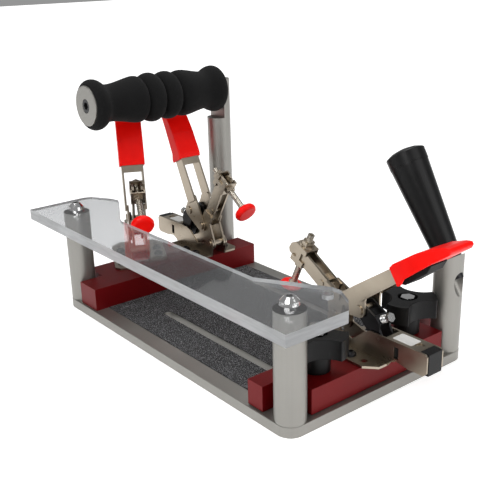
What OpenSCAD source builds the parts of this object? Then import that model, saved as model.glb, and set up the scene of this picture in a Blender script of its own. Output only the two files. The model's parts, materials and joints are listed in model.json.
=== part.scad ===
/* [Base plate] */
// Length of the base plate along X
plate_l = 347; // [330:1:370]
// Width of the base plate along Y
plate_w = 208; // [200:1:220]
// Thickness of the base plate
plate_t = 9.5; // [9:0.5:12]
// Thickness of the abrasive grip pad
pad_t = 0.8; // [0.5:0.1:1]
// Width of the two clamp slots
slot_w = 8.6; // [8.5:0.1:10]

/* [Posts] */
// Diameter of the round posts
post_d = 25.4; // [24:0.1:26]
// Post spacing along X
post_dx = 321; // [318:1:324]
// Post spacing along Y
post_dy = 182; // [180:1:184]
// Top of the two short posts that carry the guard
short_top = 94; // [92:1:98]
// Top of the tall post that carries the foam grip
tall_top = 214; // [212:1:220]

/* [Guard] */
// Thickness of the clear guard
guard_t = 10; // [8:1:12]

/* [Handles] */
// Height of the foam grip's axis
grip_z = 204; // [200:1:206]
// Lean of the side handle from vertical
handle_tilt = 33; // [28:1:36]
// Height where the side handle's axis meets its post
handle_z = 92; // [90:1:96]

/* [Bars] */
// Top face of both clamp bars
bar_top = 32; // [30:1:34]

/* [Clamps] */
// Opening of clamp A's arm from closed, in degrees
arm_a = 62; // [50:1:65]
// Opening of clamp B's arm from closed, in degrees
arm_b = 54; // [45:1:58]
// Opening of clamp C's arm from closed, in degrees
arm_c = 25; // [10:1:40]
// Lift of clamp B's spindle over clamp A's
lift_b = 5; // [0:1:6]
// Lift of clamp C's spindle over clamp A's
lift_c = 6; // [0:1:6]

/* [Hidden] */
$fn = 48;

silver = [0.74, 0.74, 0.71];
steel = [0.62, 0.58, 0.50];
bright = [0.85, 0.85, 0.86];
black = [0.07, 0.07, 0.075];
anodised = [0.45, 0.04, 0.06];
red = [0.85, 0.10, 0.06];

px = post_dx / 2;
py = post_dy / 2;
post_r = post_d / 2;
eps = 0.01;

// Bars: X limits of the end tongues and of the wide middle, and Y half lengths
bar_end_y = py + 10.5;
bar_wide_y = py - 14.5;
fixed_in = 44 - px;
fixed_tongue = 14 - px;
fixed_out = -14.5 - px;
slide_in = 123;
slide_tongue = 140.5;
slide_out = 168.5;
slide_gap = 0.1;

// Knobs and slots, front and rear
knob_x = 147.4;
slot_y = [-51.4, 54.6];
slot_start = 97 - px;
slot_end = knob_x + 4;
stud_d = 8;

// Clamps: pivot place, yaw, arm opening and spindle lift for clamps A, B and C
clamp_pos = [[-139, -33], [-118.5, 50.3], [118.7, 3.6]];
clamp_yaw = [-26.5, 0, 180];
arm_open = [arm_a, arm_b, arm_c];
lift = [0, lift_b, lift_c];
spindle_x = [66, 68, 62];

// Linkage in the clamp's own plane: X runs to the tip, Z is measured from the bar top
pivot_z = 13.7;
hinge = [5.4, 22];
knuckle = [21, -13];
elev_closed = 10;
elev_ratio = 1;
link_closed = 213;
link_ratio = 0.55;
link_len = 35;
pin_d = 5;
fit = 0.12;

// Lateral layers, measured from the clamp's middle plane
base_in = 8;
base_out = 9.5;
arm_low = [5.4, 7.4];
arm_top = [3.5, 5.5];
hand_low = [7.7, 9.5];
hand_top = [9.4, 11.4];
link_side = [5, 7];

flange_w = 27.5;
screw_y = 19.5;
screw_x = [-13, -31];
open_x = -46;
spindle_d = 6;

function turn(p, a) = [p[0] * cos(a) - p[1] * sin(a), p[0] * sin(a) + p[1] * cos(a)];
function hinge_at(i) = [0, pivot_z] + turn(hinge, arm_open[i]);
function elev(i) = elev_closed + elev_ratio * arm_open[i];
function knuckle_at(i) = hinge_at(i)
  + [-knuckle[0] * cos(elev(i)) + knuckle[1] * sin(elev(i)),
     knuckle[0] * sin(elev(i)) + knuckle[1] * cos(elev(i))];
function link_lean(i) = 270 - link_closed - link_ratio * arm_open[i];

// ---- shared shapes ----
module rounded_rect(l, w, r) {
  square([l - 2 * r, w], center = true);
  square([l, w - 2 * r], center = true);
  for (x = [-1, 1], y = [-1, 1]) translate([x * (l / 2 - r), y * (w / 2 - r)]) circle(r);
}

module slot(l, w) {
  translate([0, -w / 2]) square([l, w]);
  circle(w / 2);
  translate([l, 0]) circle(w / 2);
}

// A flat plate standing in the XZ plane, from y0 to y1
module upright(y0, y1) {
  translate([0, y1, 0]) rotate([90, 0, 0]) linear_extrude(y1 - y0) children();
}

// The same plate on both sides of the middle plane
module both(layer) {
  upright(layer[0], layer[1]) children();
  upright(-layer[1], -layer[0]) children();
}

// A pin across the middle plane with a head at each end
module cross_pin(x, z, d, half, head_d, head_t) {
  translate([x, 0, z]) rotate([90, 0, 0]) {
    cylinder(d = d, h = 2 * half, center = true);
    for (s = [-1, 1]) translate([0, 0, s * (half + head_t / 2)]) cylinder(d = head_d, h = head_t + eps, center = true);
  }
}

module cross_bore(x, z, d) {
  translate([x, 0, z]) rotate([90, 0, 0]) cylinder(d = d, h = 80, center = true);
}

module hex(af, h) {
  cylinder(d = af / cos(30), h = h, $fn = 6);
}

// A button-head socket screw, with its head's underside at z = 0
module button_screw(shank_d, shank_l, head_d, head_h) {
  difference() {
    rotate_extrude() polygon([
      [0, -shank_l], [shank_d / 2, -shank_l], [shank_d / 2, 0], [head_d / 2, 0],
      [head_d / 2 - head_h * 0.12, head_h * 0.45], [head_d / 2 - head_h * 0.45, head_h * 0.8],
      [head_d / 4, head_h], [0, head_h]]);
    translate([0, 0, head_h * 0.35]) hex(shank_d * 0.6, head_h);
  }
}

module at_posts() {
  for (x = [-px, px], y = [-py, py]) translate([x, y, 0]) children();
}

module clamp_frame(i) {
  translate([clamp_pos[i][0], clamp_pos[i][1], bar_top]) rotate([0, 0, clamp_yaw[i]]) children();
}

module arm_frame(i) {
  clamp_frame(i) translate([0, 0, pivot_z]) rotate([0, -arm_open[i], 0]) children();
}

module handle_frame(i) {
  clamp_frame(i) translate([hinge_at(i)[0], 0, hinge_at(i)[1]]) rotate([0, elev(i), 0]) children();
}

module link_frame(i) {
  clamp_frame(i) translate([knuckle_at(i)[0], 0, knuckle_at(i)[1]]) rotate([0, link_lean(i), 0]) children();
}

// ---- base ----
bar_screw_y = [-70, 0, 70];
bar_screw_x = 20 - px;

module base_plate() {
  color(silver) difference() {
    linear_extrude(plate_t) difference() {
      rounded_rect(plate_l, plate_w, plate_l / 2 - px + 0.2);
      for (y = slot_y) translate([slot_start, y]) slot(slot_end - slot_start, slot_w);
    }
    for (y = slot_y) translate([slot_start, y, -eps]) linear_extrude(5) slot(slot_end - slot_start, 15);
    at_posts() {
      translate([0, 0, -1]) cylinder(d = 8.4, h = 20);
      translate([0, 0, -eps]) cylinder(d = 14.4, h = 5);
    }
    for (y = bar_screw_y) translate([bar_screw_x, y, 0]) {
      translate([0, 0, -1]) cylinder(d = 6.4, h = 20);
      translate([0, 0, -eps]) cylinder(d = 11.4, h = 4);
    }
  }
}

pad_x0 = fixed_in + 1;
pad_x1 = 158;
pad_y = py - 3;

module grip_pad() {
  color([0.12, 0.12, 0.12]) translate([0, 0, plate_t]) linear_extrude(pad_t) difference() {
    translate([pad_x0, -pad_y]) square([pad_x1 - pad_x0, 2 * pad_y]);
    for (y = slot_y) translate([slot_start, y]) slot(slot_end - slot_start + 20, slot_w);
    for (x = [-px, px]) for (y = [-py, py]) translate([x, y]) circle(d = post_d + 0.6);
  }
}

// Cap screws from below: four into the posts and three into the fixed bar
module base_screws() {
  color(bright) {
    at_posts() {
      translate([0, 0, 1]) cylinder(d = 14, h = 4);
      translate([0, 0, 4]) cylinder(d = 8, h = 22);
    }
    for (y = bar_screw_y) translate([bar_screw_x, y, 0]) {
      translate([0, 0, 0.5]) cylinder(d = 11, h = 3.5);
      translate([0, 0, 3]) cylinder(d = 6, h = 20);
    }
  }
}

// ---- posts ----
module post(top) {
  difference() {
    translate([0, 0, plate_t]) cylinder(r = post_r, h = top - plate_t, $fn = 96);
    translate([0, 0, plate_t - 1]) cylinder(d = 8.1, h = 22);
  }
}

module short_post(x) {
  color(silver) translate([x, -py, 0]) difference() {
    post(short_top);
    translate([0, 0, short_top - 22]) cylinder(d = 8.1, h = 24);
  }
}

module post_front_left() { short_post(-px); }
module post_front_right() { short_post(px); }

shoulder_z = 172.5;
flat_y = -1.5;

module post_rear_left() {
  color(silver) translate([-px, py, 0]) difference() {
    post(tall_top);
    translate([-post_d, flat_y - 2 * post_d, shoulder_z]) cube([2 * post_d, 2 * post_d, 100]);
    translate([0, 0, grip_z]) rotate([90, 0, 0]) cylinder(d = 8.1, h = 60, center = true);
  }
}

module post_rear_right() {
  color(silver) translate([px, py, 0]) difference() {
    post(handle_z + 20);
    translate([0, 0, handle_z]) rotate([0, -handle_tilt, 0]) {
      translate([-40, -40, 0]) cube([80, 80, 60]);
      translate([0, 0, -60]) cylinder(d = 8.4, h = 80);
      translate([0, 0, -72]) cylinder(d = 12, h = 62);
    }
  }
}

// ---- guard ----
guard_front = -127;
guard_hole = [165.5, -58];
guard_outline = [
  [-190, guard_front], [197, guard_front], [197, -68], [184, -55], [168, -46.5], [159, -46.5],
  [103, -78], [-72, -79], [-93, -79], [-103, -75], [-148, -49], [-158, -44.5], [-168, -47],
  [-188, -58.5], [-191.5, -66]];

module guard_plate() {
  color([0.75, 0.78, 0.80, 0.45]) translate([0, 0, short_top]) difference() {
    linear_extrude(guard_t) polygon(guard_outline);
    for (x = [-px, px]) translate([x, -py, -1]) cylinder(d = 8.4, h = guard_t + 2);
    translate([guard_hole[0], guard_hole[1], -1]) cylinder(d = 9, h = guard_t + 2);
  }
}

module guard_screws() {
  color(bright) for (x = [-px, px]) translate([x, -py, short_top + guard_t])
    button_screw(8, guard_t + 18, 16.5, 6.5);
}

// ---- foam grip on the tall post ----
grip_l = 160;
core_r = 11;
cap_r = 19.8;
cap_t = 4;
grip_y0 = py + flat_y - grip_l;

// Distance from the outer end and radius of the moulded foam
foam_profile = [
  [0.8, cap_r + 0.1], [2, 22.3], [5, 24.6], [9, 25.4], [15, 23.5], [20, 19.2], [31, 19], [50, 22.3], [59, 23.8], [63, 19.6],
  [68, 23.9], [73.5, 25], [79, 23.9], [83, 20], [88.5, 23.6], [94.5, 24.6], [99.5, 23.6],
  [103, 20.4], [107, 23.6], [113, 24.2], [138, 19.8], [142, 20.2], [150, 24.4], [156, 24.2], [160, 21]];

module along_grip(d = 0) {
  translate([-px, grip_y0 + d, grip_z]) rotate([-90, 0, 0]) children();
}

module foam_grip() {
  color([0.06, 0.06, 0.06]) along_grip() rotate_extrude() polygon(concat(
    [for (p = foam_profile) [p[1], p[0]]],
    [[core_r + 0.1, grip_l], [core_r + 0.1, cap_t + 0.1], [cap_r + 0.1, cap_t + 0.1]]));
}

module grip_core() {
  color(silver) along_grip() difference() {
    translate([0, 0, cap_t]) cylinder(r = core_r, h = grip_l - cap_t);
    translate([0, 0, -1]) cylinder(d = 8.4, h = grip_l + 2);
  }
}

module grip_end_cap() {
  color(bright) along_grip() difference() {
    cylinder(r = cap_r, h = cap_t, $fn = 96);
    translate([0, 0, -1]) cylinder(d = 8.4, h = 2 * cap_t);
    translate([0, 0, -1]) cylinder(d = 13.4, h = 4);
  }
}

module grip_bolt() {
  color([0.2, 0.2, 0.2]) along_grip(0.4) difference() {
    union() {
      cylinder(d = 13, h = 2.6);
      cylinder(d = 8, h = grip_l + 12);
    }
    translate([0, 0, -1]) hex(7, 4.5);
  }
}

// ---- side handle on the cut post ----
side_l = 98;

module along_side(d = 0) {
  translate([px, py, handle_z]) rotate([0, -handle_tilt, 0]) translate([0, 0, d]) children();
}

module side_handle() {
  color(black) along_side() difference() {
    rotate_extrude($fn = 64) polygon([
      [0, 0], [10.6, 0], [11.1, 0.6], [16.8, side_l - 11], [16.8, side_l - 10], [0, side_l - 10]]);
    translate([0, 0, -1]) cylinder(d = 8.2, h = 62);
  }
}

module side_handle_cap() {
  color(black) along_side(side_l - 10) rotate_extrude($fn = 64) polygon([
    [0, 0], [17.2, 0], [17.4, 10], [16.6, 10.8], [12, 12.9], [6, 14.2], [0, 14.6]]);
}

module side_handle_bolt() {
  color([0.15, 0.15, 0.15]) along_side(-18) {
    cylinder(d = 11.4, h = 8);
    cylinder(d = 8, h = 62);
  }
}

// ---- clamp bars ----
module bar_shape(inner, tongue, outer) {
  lo = min(inner, tongue);
  hi = max(inner, tongue);
  translate([lo, -bar_end_y]) square([hi - lo, 2 * bar_end_y]);
  wide_lo = min(inner, outer);
  wide_hi = max(inner, outer);
  translate([wide_lo, -bar_wide_y]) square([wide_hi - wide_lo, 2 * bar_wide_y]);
}

module mount_holes(i) {
  clamp_frame(i) for (x = screw_x, y = [-screw_y, screw_y]) translate([x, y, -14]) cylinder(d = 5.1, h = 20);
}

module fixed_bar() {
  color(anodised) difference() {
    translate([0, 0, plate_t]) linear_extrude(bar_top - plate_t) bar_shape(fixed_in, fixed_tongue, fixed_out);
    mount_holes(0);
    mount_holes(1);
    for (y = bar_screw_y) translate([bar_screw_x, y, plate_t - 1]) cylinder(d = 6.1, h = 15);
  }
}

module sliding_bar() {
  floor_z = plate_t + pad_t + slide_gap;
  color(anodised) difference() {
    translate([0, 0, floor_z]) linear_extrude(bar_top - floor_z) bar_shape(slide_in, slide_tongue, slide_out);
    mount_holes(2);
    for (y = slot_y) translate([knob_x, y, 0]) cylinder(d = stud_d + 0.3, h = 60);
  }
}

// Studs with square heads that run in the undercut slots, and the hex nut at each knob's top
module slide_studs() {
  color(bright) for (y = slot_y) translate([knob_x, y, 0]) {
    translate([-6.5, -6.5, 0.4]) cube([13, 13, 4]);
    cylinder(d = stud_d, h = 63);
    translate([0, 0, 60.6]) hex(11, 3.4);
  }
}

// ---- three-lobed knobs ----
knob_z = bar_top + 0.3;
knob_lobe_z = 47;
knob_top_z = 64;
knob_r = 24.8;

module knob(y, turn_by) {
  color(black) translate([knob_x, y, 0]) rotate(turn_by) difference() {
    union() {
      translate([0, 0, knob_z]) cylinder(d = 22, h = knob_top_z - knob_z - 1);
      translate([0, 0, knob_lobe_z]) linear_extrude(knob_top_z - knob_lobe_z) difference() {
        circle(knob_r, $fn = 96);
        for (a = [60, 180, 300]) rotate(a) translate([33.5, 0]) circle(20);
      }
    }
    translate([0, 0, 60]) cylinder(d = 17, h = 10);
    translate([0, 0, knob_z - 1]) cylinder(d = stud_d + fit, h = 40);
  }
}

module knob_front() { knob(slot_y[0], 30); }
module knob_rear() { knob(slot_y[1], 50); }

// ---- toggle clamp ----
tail_x = -100;
tail_z = 23.5;
sheet_t = 1.5;
flange_t = 2;

// One cheek of the folded base, with the low front, the ramp and the tail
module base_cheek() {
  difference() {
    union() {
      translate([0, pivot_z]) circle(6.5);
      polygon([
        [3, 0], [6.5, pivot_z], [-6.5, pivot_z + 0.5], [-22, 9.5], [-37, 21.5], [-42, tail_z], [tail_x + 2, tail_z],
        [tail_x, tail_z - 2], [tail_x, 8], [tail_x + 3, 5], [-82, 5], [-70, 7], [-64, 4], [-61, 0]]);
    }
    translate([-72, 9]) square([4.5, 10]);
  }
}

module flange() {
  difference() {
    polygon([
      [3, base_in], [3, flange_w - 5], [-2, flange_w], [-51, flange_w], [-61, flange_w - 9], [-61, base_in]]);
    for (x = screw_x) translate([x, screw_y]) circle(d = 5.5);
    translate([open_x, screw_y]) circle(d = 5.5);
  }
}

module clamp_base(i) {
  color(steel) clamp_frame(i) difference() {
    union() {
      both([base_in, base_out]) base_cheek();
      for (s = [0, 1]) mirror([0, s, 0]) linear_extrude(flange_t) flange();
      translate([tail_x + 8, -base_in - eps, tail_z - sheet_t])
        cube([34, 2 * base_in + 2 * eps, sheet_t]);
    }
    cross_bore(0, pivot_z, pin_d + 0.04);
    translate([-85, 0, tail_z - 5]) cylinder(d = 7, h = 10);
  }
}

// Black end block, and the spring block that shows through the slots in the cheeks
module clamp_end_block(i) {
  color(black) clamp_frame(i) {
    translate([tail_x - 0.5, -base_in + 0.1, 5.2]) cube([8.4, 2 * base_in - 0.2, tail_z - 5.2]);
    translate([-77, -base_in + 0.1, 7]) cube([11, 2 * base_in - 0.2, tail_z - sheet_t - 7.1]);
  }
}

module clamp_screws(i) {
  color([0.12, 0.12, 0.13]) clamp_frame(i)
    for (x = screw_x, y = [-screw_y, screw_y]) translate([x, y, flange_t]) button_screw(5, 12, 9.5, 3.2);
}

// Pivot pin fixed in the base, with its spacer roller and a rivet through the spring block
module clamp_pins(i) {
  color(bright) clamp_frame(i) {
    cross_pin(0, pivot_z, pin_d, base_out, 8, 1.2);
    translate([0, 0, pivot_z]) rotate([90, 0, 0]) cylinder(d = 8, h = 2 * arm_low[0] - 0.4, center = true);
    translate([-85, 0, tail_z - sheet_t - 2]) cylinder(d = 6.4, h = 2.6);
  }
}

// Arm: plates are drawn about the pivot, in the closed position
arm_edge = 12.7;
arm_root = [18, 14.5];
arm_tip_x = 75;
arm_slope = 0.112;

module arm_lower() {
  circle(6.5);
  translate(hinge) circle(6.5);
  polygon([
    [-6.4, 1.2], [-1, 23], [5.4, 28.5], [25, arm_root[1] + arm_edge + 7 * arm_slope],
    [25, arm_root[1] + 7 * arm_slope], [17, 13.5], [5.2, -3.9]]);
}

module arm_upper() {
  run = arm_tip_x - arm_root[0];
  polygon([
    arm_root, arm_root + [run - 1, (run - 1) * arm_slope], arm_root + [run + 1, run * arm_slope + 3],
    arm_root + [run, run * arm_slope + arm_edge - 4], arm_root + [run - 4, run * arm_slope + arm_edge],
    arm_root + [0, arm_edge]]);
}

module clamp_arm(i) {
  color(steel) arm_frame(i) difference() {
    union() {
      both(arm_low) arm_lower();
      both(arm_top) arm_upper();
      translate([27, -arm_top[0] - eps, 24]) cube([7, 2 * arm_top[0] + 2 * eps, 1.5]);
      cross_pin(30, 21, 4, arm_top[1], 6, 0.8);
    }
    cross_bore(0, 0, pin_d + fit);
    cross_bore(hinge[0], hinge[1], pin_d + fit);
  }
}

// Saddle that boxes in the arm's end and guides the spindle, with its lock nut
saddle_l = 15;
saddle_z = [16.8, 35.4];

module clamp_saddle(i) {
  high = saddle_z[1] - saddle_z[0];
  color(steel) arm_frame(i) translate([spindle_x[i], 0, saddle_z[0]]) difference() {
    union() {
      difference() {
        translate([-saddle_l / 2, -7.2, 0]) cube([saddle_l, 14.4, high]);
        translate([-saddle_l, -5.6, 1.6]) cube([2 * saddle_l, 11.2, high - 3.2]);
        translate([-saddle_l, -10, 5.5]) cube([2 * saddle_l, 20, high - 11]);
      }
      for (s = [-1, 1]) translate([-2.5, s * 6.4 - 0.8, 1]) cube([5, 1.6, high - 2]);
      translate([0, 0, -4]) hex(9, 4.1);
      translate([0, 0, high - 0.1]) cylinder(d = 12, h = 1.1);
      translate([0, 0, high + 0.9]) hex(10, 3.6);
    }
    translate([0, 0, -10]) cylinder(d = spindle_d + fit, h = 50);
  }
}

rod_top = 41;
tip_z = -19.7;

module clamp_spindle(i) {
  color(bright) arm_frame(i) translate([spindle_x[i], 0, lift[i]]) difference() {
    union() {
      translate([0, 0, tip_z + 1]) cylinder(d = spindle_d, h = rod_top - tip_z - 1);
      translate([0, 0, tip_z + 4.8]) cylinder(d = 8.5, h = 1.6);
    }
    translate([0, 0, rod_top - 2.5]) hex(3, 6);
  }
}

module clamp_tip(i) {
  color(red) arm_frame(i) translate([spindle_x[i], 0, tip_z + lift[i]]) rotate_extrude() polygon([
    [0, -4.6], [8.6, -4.6], [10.4, -3.9], [11.5, -1.8], [11.5, 0], [10.4, 2], [7.6, 3.6], [5.6, 4.4],
    [spindle_d / 2 + 0.05, 4.7], [spindle_d / 2 + 0.05, 0.9], [0, 0.9]]);
}

// Handle: plates are drawn about the hinge with the grip towards -X
module handle_lower() {
  circle(6.5);
  translate([-knuckle[0], knuckle[1]]) circle(6.5);
  polygon([
    [2, 6.3], [-32, 6.2], [-34, 4.5], [-34, -6.6], [-31, -9.8], [-26, -17.2],
    [-knuckle[0] + 3, -18.8], [3.5, -5.5]]);
}

module handle_upper() {
  polygon([
    [-28, 6.2], [-98, 5], [-118, 3], [-131, -0.4], [-131, -3.6], [-112, -4.1], [-78, -6.6], [-28, -7.6]]);
}

module clamp_handle(i) {
  color(steel) handle_frame(i) {
    both(hand_low) handle_lower();
    both(hand_top) handle_upper();
    translate([-76, -hand_top[1], 3.9]) cube([8, 2 * hand_top[1], 1.5]);
    cross_pin(0, 0, pin_d, hand_low[1], 8.5, 1.2);
    cross_pin(-knuckle[0], knuckle[1], pin_d, hand_low[1], 8.5, 1.2);
  }
}

grip_start = 75;
grip_end = 136;

module grip_side() {
  polygon([
    [-grip_start, 6.4], [-grip_start - 5, 7.6], [-104, 7], [-120, 5], [-grip_end + 4, 1.4],
    [-grip_end, -1], [-grip_end, -3.6], [-grip_end + 3, -5.2], [-114, -5.2], [-grip_start - 9, -6.6],
    [-grip_start - 4, -9.6], [-grip_start, -9.6]]);
}

module clamp_grip(i) {
  color(red) handle_frame(i) difference() {
    upright(-13.4, 13.4) grip_side();
    upright(-hand_top[1] - 0.1, hand_top[1] + 0.1)
      polygon([
        [-grip_start + 1, 5.7], [-98.1, 5.2], [-118.2, 3.2], [-131.2, -0.2], [-131.2, -3.8], [-112, -4.2],
        [-112, -12], [-grip_start + 1, -12]]);
  }
}

module clamp_insert(i) {
  color(black) handle_frame(i) {
    upright(-hand_top[0] + 0.1, hand_top[0] - 0.1)
      polygon([[-82, 4], [-108, 3], [-111, -6], [-104, -9.5], [-79, -10.5], [-76.5, -9], [-78, -1]]);
  }
}

module link_outline() {
  circle(6);
  translate([0, -link_len]) circle(4.6);
  polygon([[-6, 0], [6, 0], [4.6, -link_len], [-4.6, -link_len], [-7, -22], [-10, -19], [-10, -12]]);
}

module adjuster_frame() {
  translate([-9, 0, -15.5]) rotate([0, -105, 0]) children();
}

module clamp_link(i) {
  color([0.1, 0.1, 0.1]) link_frame(i) difference() {
    union() {
      both(link_side) link_outline();
      adjuster_frame() translate([-3.5, -link_side[0] - 1, -3]) cube([8, 2 * link_side[0] + 2, 3]);
    }
    cross_bore(0, 0, pin_d + fit);
    adjuster_frame() translate([0, 0, -10]) cylinder(d = 4.1, h = 20);
  }
}

// Force adjuster: a screw through the link's bridge with its spring and head
module clamp_adjuster(i) {
  color(bright) link_frame(i) adjuster_frame() {
    translate([0, 0, -6]) cylinder(d = 4, h = 16);
    for (k = [0 : 3]) translate([0, 0, 0.8 + k * 1.65]) rotate_extrude() translate([2.7, 0]) circle(0.75, $fn = 16);
    translate([0, 0, 7]) hex(7, 3.5);
  }
}

base_plate();
grip_pad();
base_screws();
post_front_left();
post_front_right();
post_rear_left();
post_rear_right();
guard_plate();
guard_screws();
foam_grip();
grip_core();
grip_end_cap();
grip_bolt();
side_handle();
side_handle_cap();
side_handle_bolt();
fixed_bar();
sliding_bar();
slide_studs();
knob_front();
knob_rear();

LETTERS = ["a", "b", "c"];
for (i = [0 : 2]) {
  name = str("clamp_", LETTERS[i], "_");
  clamp_base(i);
  clamp_end_block(i);
  clamp_screws(i);
  clamp_pins(i);
  clamp_arm(i);
  clamp_saddle(i);
  clamp_spindle(i);
  clamp_tip(i);
  clamp_handle(i);
  clamp_grip(i);
  clamp_insert(i);
  clamp_link(i);
  clamp_adjuster(i);
}
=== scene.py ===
import json
import math
import bmesh
import bpy
from mathutils import Matrix, Vector


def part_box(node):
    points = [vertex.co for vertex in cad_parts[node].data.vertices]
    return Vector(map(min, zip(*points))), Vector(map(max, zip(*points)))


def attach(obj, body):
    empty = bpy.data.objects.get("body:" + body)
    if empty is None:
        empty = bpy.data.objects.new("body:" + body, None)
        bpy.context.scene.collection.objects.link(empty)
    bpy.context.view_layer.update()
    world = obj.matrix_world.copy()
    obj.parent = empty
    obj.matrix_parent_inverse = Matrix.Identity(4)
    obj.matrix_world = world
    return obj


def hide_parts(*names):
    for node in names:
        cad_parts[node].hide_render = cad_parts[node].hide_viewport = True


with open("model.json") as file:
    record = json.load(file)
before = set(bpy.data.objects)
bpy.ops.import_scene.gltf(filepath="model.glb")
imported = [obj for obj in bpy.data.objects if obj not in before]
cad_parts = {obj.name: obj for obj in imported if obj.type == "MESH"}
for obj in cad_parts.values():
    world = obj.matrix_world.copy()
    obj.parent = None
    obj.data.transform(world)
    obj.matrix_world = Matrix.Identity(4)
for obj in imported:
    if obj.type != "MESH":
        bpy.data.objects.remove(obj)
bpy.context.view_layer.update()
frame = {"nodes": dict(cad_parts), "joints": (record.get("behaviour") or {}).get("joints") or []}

print("frame loaded:", len(frame["nodes"]), "nodes")
nodes = frame["nodes"]
joints = {joint["name"]: joint for joint in frame["joints"]}


# A socket that can be added, taken away and multiplied
class Wire:
    def __init__(self, finish, socket):
        self.finish, self.socket = finish, socket

    def maths(self, operation, first, second):
        return self.finish.node("ShaderNodeMath", {"operation": operation}, {0: first, 1: second})

    def __add__(self, other):
        return self.maths("ADD", self, other)

    def __radd__(self, other):
        return self.maths("ADD", other, self)

    def __sub__(self, other):
        return self.maths("SUBTRACT", self, other)

    def __rsub__(self, other):
        return self.maths("SUBTRACT", other, self)

    def __mul__(self, other):
        return self.maths("MULTIPLY", self, other)

    def __rmul__(self, other):
        return self.maths("MULTIPLY", other, self)


# A material with its tree, its surface shader and the nodes that feed it
class Finish:
    def __init__(self, name, constants):
        self.material = bpy.data.materials.new(name)
        self.material.use_nodes = True
        self.tree = self.material.node_tree
        self.surface = self.tree.nodes["Principled BSDF"]
        for socket, value in constants.items():
            self.surface.inputs[socket].default_value = value
        self.place = self.node("ShaderNodeTexCoord", out="Object")

    def node(self, kind, settings=None, inputs=None, out=0):
        made = self.tree.nodes.new(kind)
        for key, value in (settings or {}).items():
            setattr(made, key, value)
        for key, value in (inputs or {}).items():
            self.feed(made.inputs[key], value)
        return Wire(self, made.outputs[out])

    def feed(self, socket, value):
        if isinstance(value, Wire):
            self.tree.links.new(value.socket, socket)
        else:
            socket.default_value = value

    def noise(self, scale, detail=3.0, stretch=(1, 1, 1), rough=0.5):
        where = self.node("ShaderNodeMapping", {}, {"Vector": self.place, "Scale": stretch})
        return self.node("ShaderNodeTexNoise", {},
                         {"Vector": where, "Scale": scale, "Detail": detail, "Roughness": rough})

    def cells(self, scale):
        return self.node("ShaderNodeTexVoronoi", {"feature": "F1"}, {"Vector": self.place, "Scale": scale},
                         out="Distance")

    def blendTones(self, amount, first, second):
        return self.node("ShaderNodeMix", {"data_type": "RGBA"}, {0: amount, 6: first, 7: second}, out=2)

    def bump(self, height, distance, strength=1.0):
        normal = self.node("ShaderNodeBump", {},
                           {"Height": height, "Distance": distance, "Strength": strength}, out="Normal")
        self.feed(self.surface.inputs["Normal"], normal)

    def use(self, socket, value):
        self.feed(self.surface.inputs[socket], value)


# Satin blasted aluminium of the plate and posts
satin = {"light": (0.33, 0.322, 0.30, 1), "dark": (0.24, 0.233, 0.215, 1), "metallic": 0.85,
         "rough": 0.34, "cloudScale": 22, "grainScale": 2600, "streakScale": 500, "grain": 0.00003}


def satinAluminium():
    made = Finish("satinAluminium", {"Metallic": satin["metallic"]})
    cloud = made.noise(satin["cloudScale"], 4)
    grain = made.noise(satin["grainScale"], 2)
    streak = made.noise(satin["streakScale"], 3, (1, 1, 0.03))
    made.use("Base Color", made.blendTones(cloud * 0.7 + streak * 0.3, satin["dark"], satin["light"]))
    made.use("Roughness", satin["rough"] + cloud * 0.10 + streak * 0.08)
    made.bump(grain * 0.7 + streak * 0.3, satin["grain"])
    return made.material


# Black abrasive sheet with glinting grains
grit = {"base": (0.008, 0.008, 0.0085, 1), "grey": (0.055, 0.055, 0.057, 1),
        "glint": (0.32, 0.32, 0.33, 1), "grainScale": 1500.0, "glintScale": 1700, "patchScale": 40,
        "glintLevel": 0.47, "rough": 0.88, "relief": 0.00035}


def gritSheet():
    made = Finish("gritSheet", {"Specular IOR Level": 0.2})
    lumps = made.noise(grit["grainScale"], 4, rough=0.7)
    patch = made.noise(grit["patchScale"], 3)
    grains = made.cells(grit["grainScale"])
    chosen = made.noise(grit["glintScale"], 1)
    speck = made.node("ShaderNodeMath", {"operation": "GREATER_THAN"},
                      {0: chosen - grains * 0.28, 1: grit["glintLevel"]})
    tone = made.blendTones(lumps * 0.8 + patch * 0.3 - 0.2, grit["base"], grit["grey"])
    made.use("Base Color", made.blendTones(speck * 0.75, tone, grit["glint"]))
    made.use("Roughness", grit["rough"] - speck * 0.45)
    made.bump(lumps + grains * 0.5, grit["relief"], 0.9)
    return made.material


# Dark red anodised bars
anodised = {"deep": (0.10, 0.0008, 0.0018, 1), "lit": (0.17, 0.0015, 0.003, 1), "metallic": 0.3,
            "rough": 0.33, "cloudScale": 30, "lineScale": 700, "relief": 0.00003}


def anodisedRed():
    made = Finish("anodisedRed", {"Metallic": anodised["metallic"], "Specular IOR Level": 0.22})
    cloud = made.noise(anodised["cloudScale"], 4)
    lines = made.noise(anodised["lineScale"], 3, (0.9, 0.03, 0.9))
    made.use("Base Color", made.blendTones(cloud * 0.6 + lines * 0.4, anodised["deep"], anodised["lit"]))
    made.use("Roughness", anodised["rough"] + cloud * 0.1 + lines * 0.08)
    made.bump(lines, anodised["relief"])
    return made.material


# Nickel plated pressed steel
nickel = {"warm": (0.44, 0.385, 0.31, 1), "worn": (0.30, 0.255, 0.20, 1), "rough": 0.20,
          "cloudScale": 60, "scratchScale": 900, "fineScale": 3000, "relief": 0.00003}


def nickelSteel():
    made = Finish("nickelSteel", {"Metallic": 1.0})
    cloud = made.noise(nickel["cloudScale"], 4)
    scratch = made.noise(nickel["scratchScale"], 3, (0.08, 1, 0.25))
    fine = made.noise(nickel["fineScale"], 2)
    made.use("Base Color", made.blendTones(cloud * 0.8 + scratch * 0.2, nickel["worn"], nickel["warm"]))
    made.use("Roughness", nickel["rough"] + cloud * 0.12 + scratch * 0.08)
    made.bump(fine * 0.5 + scratch * 0.5, nickel["relief"])
    return made.material


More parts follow.
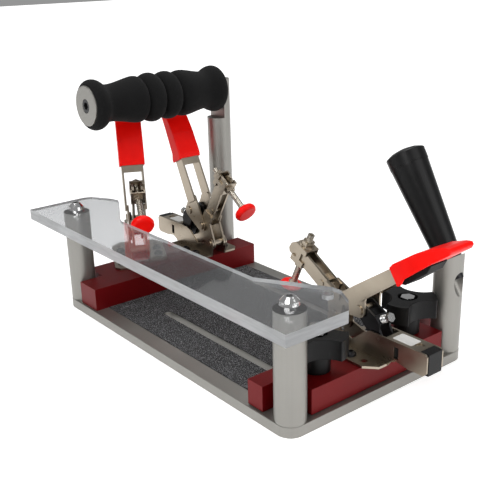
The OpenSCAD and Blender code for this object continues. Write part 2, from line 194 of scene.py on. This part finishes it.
# Rolled thread on a spindle or screw, along its own axis, with painted shade in its grooves
thread = {"tone": (0.50, 0.46, 0.39, 1), "shade": 0.72, "pitch": 0.0010, "depth": 0.00006,
          "dirtScale": 300, "rough": 0.2}


def threadedSteel(name, axis):
    made = Finish(name, {"Metallic": 1.0})
    along = made.node("ShaderNodeVectorMath", {"operation": "DOT_PRODUCT"}, {0: made.place, 1: axis},
                      out="Value")
    wave = made.node("ShaderNodeMath", {"operation": "SINE"}, {0: along * (2 * math.pi / thread["pitch"])})
    dirt = made.noise(thread["dirtScale"], 3)
    # painted shade: the colour darkens in the thread's grooves; the dirt noise adds random dirt on top
    dark = tuple(part * thread["shade"] for part in thread["tone"][:3]) + (1,)
    made.use("Base Color", made.blendTones(wave * 0.35 + 0.5 + dirt * 0.15, dark, thread["tone"]))
    made.use("Roughness", thread["rough"] + dirt * 0.15)
    made.bump(wave, thread["depth"])
    return made.material


# Bright and black oxide steel of the screws, studs and pins
bright = {"tone": (0.78, 0.78, 0.78, 1), "dull": (0.66, 0.66, 0.66, 1), "rough": 0.10, "metallic": 1.0}
oxide = {"tone": (0.035, 0.035, 0.038, 1), "dull": (0.02, 0.02, 0.021, 1), "rough": 0.30, "metallic": 0.8}
steelGrain = {"cloudScale": 120, "scratchScale": 1400, "relief": 0.00002}


def plainMetal(name, steel):
    made = Finish(name, {"Metallic": steel["metallic"]})
    cloud = made.noise(steelGrain["cloudScale"], 4)
    scratch = made.noise(steelGrain["scratchScale"], 2)
    made.use("Base Color", made.blendTones(cloud, steel["dull"], steel["tone"]))
    made.use("Roughness", steel["rough"] + cloud * 0.1)
    made.bump(scratch, steelGrain["relief"])
    return made.material


# Red vinyl dip and rubber
vinyl = {"bright": (0.90, 0.004, 0.001, 1), "shade": (0.74, 0.002, 0.001, 1),
         "cloudScale": 90, "poreScale": 1800, "relief": 0.00012}


def redVinyl(name, rough, coat):
    made = Finish(name, {"Coat Weight": coat, "Coat Roughness": 0.12, "Specular IOR Level": 0.14})
    cloud = made.noise(vinyl["cloudScale"], 3)
    pores = made.noise(vinyl["poreScale"], 2)
    made.use("Base Color", made.blendTones(cloud, vinyl["shade"], vinyl["bright"]))
    made.use("Roughness", rough + cloud * 0.12)
    made.bump(cloud * 0.7 + pores * 0.3, vinyl["relief"])
    return made.material


# Black foam of the long grip, with painted shade in its pores
foam = {"poreShade": (0.002, 0.002, 0.002, 1), "skin": (0.006, 0.006, 0.0063, 1),
        "cellScale": 1300.0, "lumpScale": 420, "rough": 0.78, "relief": 0.00028}


def blackFoam():
    made = Finish("blackFoam", {"Sheen Weight": 0.03, "Sheen Roughness": 0.6, "Specular IOR Level": 0.12})
    cells = made.cells(foam["cellScale"])
    lumps = made.noise(foam["lumpScale"], 4, rough=0.65)
    # painted shade: the foam's pits are darker; the lumps vary the tone at random
    made.use("Base Color", made.blendTones(cells * 0.8 + lumps * 0.4, foam["poreShade"], foam["skin"]))
    made.use("Roughness", foam["rough"] + cells * 0.2)
    made.bump(cells + lumps, foam["relief"], 0.8)
    return made.material


# Black plastic and rubber of the knobs, the cone handle and the clamps' inserts
plastic = {"dark": (0.002, 0.002, 0.0022, 1), "light": (0.006, 0.006, 0.0063, 1),
           "cloudScale": 70, "stippleScale": 2200}


def blackPlastic(name, rough, grain):
    made = Finish(name, {"Specular IOR Level": 0.2})
    cloud = made.noise(plastic["cloudScale"], 4)
    stipple = made.noise(plastic["stippleScale"], 3)
    made.use("Base Color", made.blendTones(cloud, plastic["dark"], plastic["light"]))
    made.use("Roughness", rough + cloud * 0.12 + stipple * 0.06)
    made.bump(stipple, grain)
    return made.material


# Clear guard: polished faces and milled edges
acrylic = {"tint": (0.63, 0.64, 0.65, 1), "edge": (0.27, 0.278, 0.285, 1), "bend": 1.49,
           "clear": 0.93, "clouded": 0.55, "hazeScale": 45, "lineScale": 500}


def clearAcrylic():
    made = Finish("clearAcrylic", {"Transmission Weight": acrylic["clear"], "IOR": acrylic["bend"],
                                   "Base Color": acrylic["tint"]})
    haze = made.noise(acrylic["hazeScale"], 4)
    made.use("Roughness", haze * 0.05)
    made.bump(haze, 0.00004, 0.4)
    return made.material


def milledAcrylic():
    made = Finish("milledAcrylic", {"Transmission Weight": acrylic["clouded"], "IOR": acrylic["bend"]})
    lines = made.noise(acrylic["lineScale"], 3, (0.1, 0.1, 1))
    made.use("Base Color", made.blendTones(lines, acrylic["edge"], acrylic["tint"]))
    made.use("Roughness", 0.28 + lines * 0.15)
    made.bump(lines, 0.00008)
    return made.material


# Brushed plate of the blank labels
pale = {"grey": (0.62, 0.62, 0.60, 1), "white": (0.76, 0.76, 0.74, 1), "rough": 0.34,
        "fleckScale": 260, "relief": 0.00004}


def paleLabel():
    made = Finish("paleLabel", {"Metallic": 0.3})
    fleck = made.noise(pale["fleckScale"], 3)
    made.use("Base Color", made.blendTones(fleck, pale["grey"], pale["white"]))
    made.use("Roughness", pale["rough"] + fleck * 0.12)
    made.bump(fleck, pale["relief"])
    return made.material


finishes = {
    "plate_silver": satinAluminium(),
    "grit": gritSheet(),
    "anodised_red": anodisedRed(),
    "nickel": nickelSteel(),
    "chrome": plainMetal("brightSteel", bright),
    "blackScrew": plainMetal("blackOxide", oxide),
    "vinyl": redVinyl("redVinyl", 0.28, 0.04),
    "rubber": redVinyl("redRubber", 0.36, 0.05),
    "foam": blackFoam(),
    "knob": blackPlastic("knobPlastic", 0.34, 0.00005),
    "handle": blackPlastic("handlePlastic", 0.24, 0.00003),
    "insert": blackPlastic("insertRubber", 0.5, 0.0001),
    "label": paleLabel(),
}
print("finishes made:", len(finishes))


rounding = {"segments": 2, "fromAngle": 32}
mergeDistance = 0.00001  # metres


def dress(node, material, bevelWidth):
    part = nodes[node]
    part.data.materials.clear()
    part.data.materials.append(material)
    weld = part.modifiers.new("weld", "WELD")
    weld.merge_threshold = mergeDistance
    if bevelWidth:
        bevel = part.modifiers.new("edges", "BEVEL")
        bevel.width = bevelWidth
        bevel.segments = rounding["segments"]
        bevel.limit_method = "ANGLE"
        bevel.angle_limit = math.radians(rounding["fromAngle"])
        bevel.profile = 0.5
        bevel.material = -1
        bevel.harden_normals = False
    for face in part.data.polygons:
        face.use_smooth = False


# Finish and edge rounding, in metres, by node
edges = {
    "base_plate": ("plate_silver", 0.0006), "grip_pad": ("grit", 0.0002),
    "base_screws": ("chrome", 0.0003), "guard_screws": ("chrome", 0.0003),
    "post_front_left": ("plate_silver", 0.0006), "post_front_right": ("plate_silver", 0.0006),
    "post_rear_left": ("plate_silver", 0.0006), "post_rear_right": ("plate_silver", 0.0006),
    "grip_core": ("chrome", 0.0), "grip_end_cap": ("plate_silver", 0.0006),
    "grip_bolt": ("blackScrew", 0.0003), "side_handle": ("handle", 0.0008),
    "side_handle_cap": ("handle", 0.0006), "side_handle_bolt": ("blackScrew", 0.0003),
    "fixed_bar": ("anodised_red", 0.0007), "sliding_bar": ("anodised_red", 0.0007),
    "slide_studs": ("chrome", 0.0003), "knob_front": ("knob", 0.0010), "knob_rear": ("knob", 0.0010),
}
for node, (finish, width) in edges.items():
    dress(node, finishes[finish], width)

# The same for one clamp's nodes
clampEdges = {
    "base": ("nickel", 0.0003), "end_block": ("knob", 0.0005), "screws": ("blackScrew", 0.0002),
    "pins": ("nickel", 0.0002), "arm": ("nickel", 0.0003), "saddle": ("nickel", 0.0003),
    "tip": ("rubber", 0.0006), "handle": ("nickel", 0.0003), "insert": ("insert", 0.0006),
    "link": ("blackScrew", 0.0003), "adjuster": ("chrome", 0.0002), "spindle": ("chrome", 0.0003),
}
for letter in "abc":
    for part, (finish, width) in clampEdges.items():
        dress(f"clamp_{letter}_{part}", finishes[finish], width)
    axis = joints[f"spindle_{letter}_adjust"]["axis"]
    rod = nodes[f"clamp_{letter}_spindle"]
    rod.data.materials[0] = threadedSteel(f"spindleThread_{letter}", axis)
print("CAD parts dressed")

# The guard's broad faces are clear and its rim is milled
guard = nodes["guard_plate"]
guard.data.materials.clear()
guard.data.materials.append(clearAcrylic())
guard.data.materials.append(milledAcrylic())
for face in guard.data.polygons:
    broad = abs(face.normal.z) > 0.9
    face.material_index = 0 if broad else 1
print("guard dressed")


# A new piece from a finished form
def makePiece(name, form, material):
    mesh = bpy.data.meshes.new(name)
    form.to_mesh(mesh)
    form.free()
    mesh.materials.append(material)
    piece = bpy.data.objects.new(name, mesh)
    bpy.context.scene.collection.objects.link(piece)
    return piece


# Red dipped grips: a copy of each solid, remeshed and softened
dip = {"cell": 0.0007, "rounds": 5, "soften": 0.5}


def redGrip(letter):
    node = f"clamp_{letter}_grip"
    form = bmesh.new()
    form.from_mesh(nodes[node].data)
    bmesh.ops.remove_doubles(form, verts=form.verts, dist=mergeDistance)
    bmesh.ops.recalc_face_normals(form, faces=form.faces)
    piece = makePiece(f"redGrip_{letter}", form, finishes["vinyl"])
    remesh = piece.modifiers.new("skin", "REMESH")
    remesh.mode = "VOXEL"
    remesh.voxel_size = dip["cell"]
    remesh.use_smooth_shade = True
    soften = piece.modifiers.new("soften", "SMOOTH")
    soften.factor = dip["soften"]
    soften.iterations = dip["rounds"]
    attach(piece, f"handle_{letter}")
    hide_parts(node)


# Foam grip: (distance from the outer end, radius) in mm, spun round the grip's own axis
grip = {"steps": 96, "bore": 11.1, "recess": 4.1, "capFit": 19.9, "start": 0.8, "end": 159.9, "outline": (
    (0.8, 19.9), (2, 22.3), (5, 24.6), (9, 25.3), (13.5, 24.1), (17, 21.4), (20, 18.9), (24, 18.3),
    (31, 18.7), (42, 21), (50, 22.8), (56, 23.8), (60, 22.7), (62, 20), (63, 17.6), (64, 20),
    (66.5, 23), (70, 24.6), (73.5, 25.1), (77, 24.6), (80.5, 22.6), (82.2, 19.6), (83, 17.6),
    (83.9, 19.6), (86, 22.6), (90, 24.4), (94.5, 24.8), (98.5, 23.9), (101.4, 21), (103, 17.8),
    (104.5, 21.2), (107, 23.3), (113, 24.2), (120, 23), (130, 20.8), (138, 19.4), (142, 19.9),
    (146, 22.4), (150, 24.2), (154, 24.7), (157, 24), (159.3, 22), (159.9, 20.5))}
low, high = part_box("foam_grip")
middle = (low + high) / 2
loop = list(grip["outline"]) + [(grip["end"], grip["bore"]), (grip["recess"], grip["bore"]),
                                (grip["recess"], grip["capFit"])]
form = bmesh.new()
ring = [form.verts.new((middle.x + radius / 1000, low.y + (along - grip["start"]) / 1000, middle.z))
        for along, radius in loop]
sides = [form.edges.new((first, second)) for first, second in zip(ring, ring[1:] + ring[:1])]
bmesh.ops.spin(form, geom=ring + sides, cent=(middle.x, 0, middle.z), axis=(0, 1, 0),
               angle=2 * math.pi, steps=grip["steps"], use_merge=True)
bmesh.ops.remove_doubles(form, verts=form.verts, dist=mergeDistance)
bmesh.ops.recalc_face_normals(form, faces=form.faces)
for face in form.faces:
    face.smooth = True
foamGrip = makePiece("foamGrip", form, finishes["foam"])
soften = foamGrip.modifiers.new("soften", "SUBSURF")
soften.levels = 1
soften.render_levels = 1
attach(foamGrip, "frame")
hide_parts("foam_grip")
for letter in "abc":
    redGrip(letter)
print("soft grips made")

# Blank plate stuck on top of each clamp's tail, in metres from the arm's pivot
label = {"start": -0.0815, "end": -0.0625, "half": 0.0062, "above": 0.00982, "thick": 0.00018,
         "corner": 0.0012}


# The clamp's own frame: its arm's pivot, with the arm pointing along X
def clampPlace(letter):
    joint = joints[f"arm_{letter}_swing"]
    across = joint["axis"]
    return Matrix.Translation(joint["pos_m"]) @ Matrix.Rotation(math.atan2(across[0], -across[1]), 4, "Z")


def tailLabel(letter, body):
    form = bmesh.new()
    bmesh.ops.create_grid(form, x_segments=1, y_segments=1, size=1.0)
    bmesh.ops.scale(form, verts=form.verts,
                    vec=((label["end"] - label["start"]) / 2, label["half"], 1))
    bmesh.ops.bevel(form, geom=form.verts[:], affect="VERTICES", offset=label["corner"], segments=4,
                    profile=0.5, material=-1, offset_type="OFFSET")
    rim = bmesh.ops.extrude_face_region(form, geom=form.faces[:])
    raised = [part for part in rim["geom"] if isinstance(part, bmesh.types.BMVert)]
    bmesh.ops.translate(form, verts=raised, vec=(0, 0, label["thick"]))
    bmesh.ops.recalc_face_normals(form, faces=form.faces)
    middle = ((label["start"] + label["end"]) / 2, 0, label["above"])
    bmesh.ops.transform(form, matrix=clampPlace(letter) @ Matrix.Translation(middle), verts=form.verts)
    piece = makePiece(f"tailLabel_{letter}", form, finishes["label"])
    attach(piece, body)


for letter, body in (("a", "frame"), ("b", "frame"), ("c", "bar_carriage")):
    tailLabel(letter, body)
print("labels made")

# Pale floor, which glows as painted light that grows brighter away from the vise, and soft studio light
studio = {"floor": (0.86, 0.86, 0.86, 1), "floorShade": (0.85, 0.85, 0.85, 1), "floorHalf": 6.0,
          "floorDrop": 0.0002, "glow": (0.52, 0.52, 0.52, 1), "glowFrom": 0.5, "glowTo": 2.2,
          "sky": (1, 1, 1, 1), "skyPower": 0.30}
bpy.context.scene.view_settings.view_transform = "Standard"
form = bmesh.new()
bmesh.ops.create_grid(form, x_segments=4, y_segments=4, size=studio["floorHalf"])
bmesh.ops.translate(form, verts=form.verts, vec=(0, 0, -studio["floorDrop"]))
glowingPaper = Finish("glowingPaper", {"Roughness": 0.9, "Specular IOR Level": 0.1, "Emission Strength": 1.0})
reach = glowingPaper.node("ShaderNodeVectorMath", {"operation": "LENGTH"}, {0: glowingPaper.place}, out="Value")
away = glowingPaper.node("ShaderNodeMapRange", {},
                  {"Value": reach, "From Min": studio["glowFrom"], "From Max": studio["glowTo"]})
# painted light: the floor's glow is 0.52 within 0.5 m of the vise and rises to white at 2.2 m
glowingPaper.use("Emission Color", glowingPaper.blendTones(away, studio["glow"], studio["sky"]))
glowingPaper.use("Base Color", glowingPaper.blendTones(glowingPaper.noise(3, 2), studio["floorShade"], studio["floor"]))
floor = makePiece("floor", form, glowingPaper.material)

world = bpy.data.worlds.new("studio")
bpy.context.scene.world = world
world.use_nodes = True
world.node_tree.nodes["Background"].inputs[0].default_value = studio["sky"]
world.node_tree.nodes["Background"].inputs[1].default_value = studio["skyPower"]

lamps = {
    "key": {"at": (0.35, -0.95, 1.05), "size": 0.8, "power": 13},
    "fill": {"at": (1.1, 0.25, 0.6), "size": 0.9, "power": 5},
    "back": {"at": (-0.4, 0.35, 1.5), "size": 0.8, "power": 9},
}
target = Vector((0, 0, 0.08))  # the middle of the vise, where every lamp points
for name, lamp in lamps.items():
    data = bpy.data.lights.new(name, "AREA")
    data.energy = lamp["power"]
    data.size = lamp["size"]
    light = bpy.data.objects.new(name, data)
    light.location = lamp["at"]
    light.rotation_mode = "QUATERNION"
    light.rotation_quaternion = (target - Vector(lamp["at"])).to_track_quat("-Z", "Y")
    bpy.context.scene.collection.objects.link(light)

# Camera, with its angles in radians
view = {"at": (0.5625, -0.44755, 0.3383), "yaw": 2.464, "pitch": 0.349, "roll": -0.023,
        "lens": 58.6, "sensor": 36, "shiftX": -0.0028, "shiftY": 0.0046}
yaw, pitch, roll = view["yaw"], view["pitch"], view["roll"]
ahead = Vector((math.cos(pitch) * math.cos(yaw), math.cos(pitch) * math.sin(yaw), -math.sin(pitch)))
side = Vector((math.sin(yaw), -math.cos(yaw), 0))
above = side.cross(ahead)
turnedSide = math.cos(roll) * side + math.sin(roll) * above
turnedUp = math.cos(roll) * above - math.sin(roll) * side
cameraData = bpy.data.cameras.new("camera")
cameraData.lens = view["lens"]
cameraData.sensor_width = view["sensor"]
cameraData.shift_x = view["shiftX"]
cameraData.shift_y = view["shiftY"]
camera = bpy.data.objects.new("camera", cameraData)
turned = Matrix((turnedSide, turnedUp, -ahead)).transposed().to_4x4()
camera.matrix_world = Matrix.Translation(view["at"]) @ turned
bpy.context.scene.collection.objects.link(camera)
bpy.context.scene.camera = camera
print("stage, lights and camera ready")
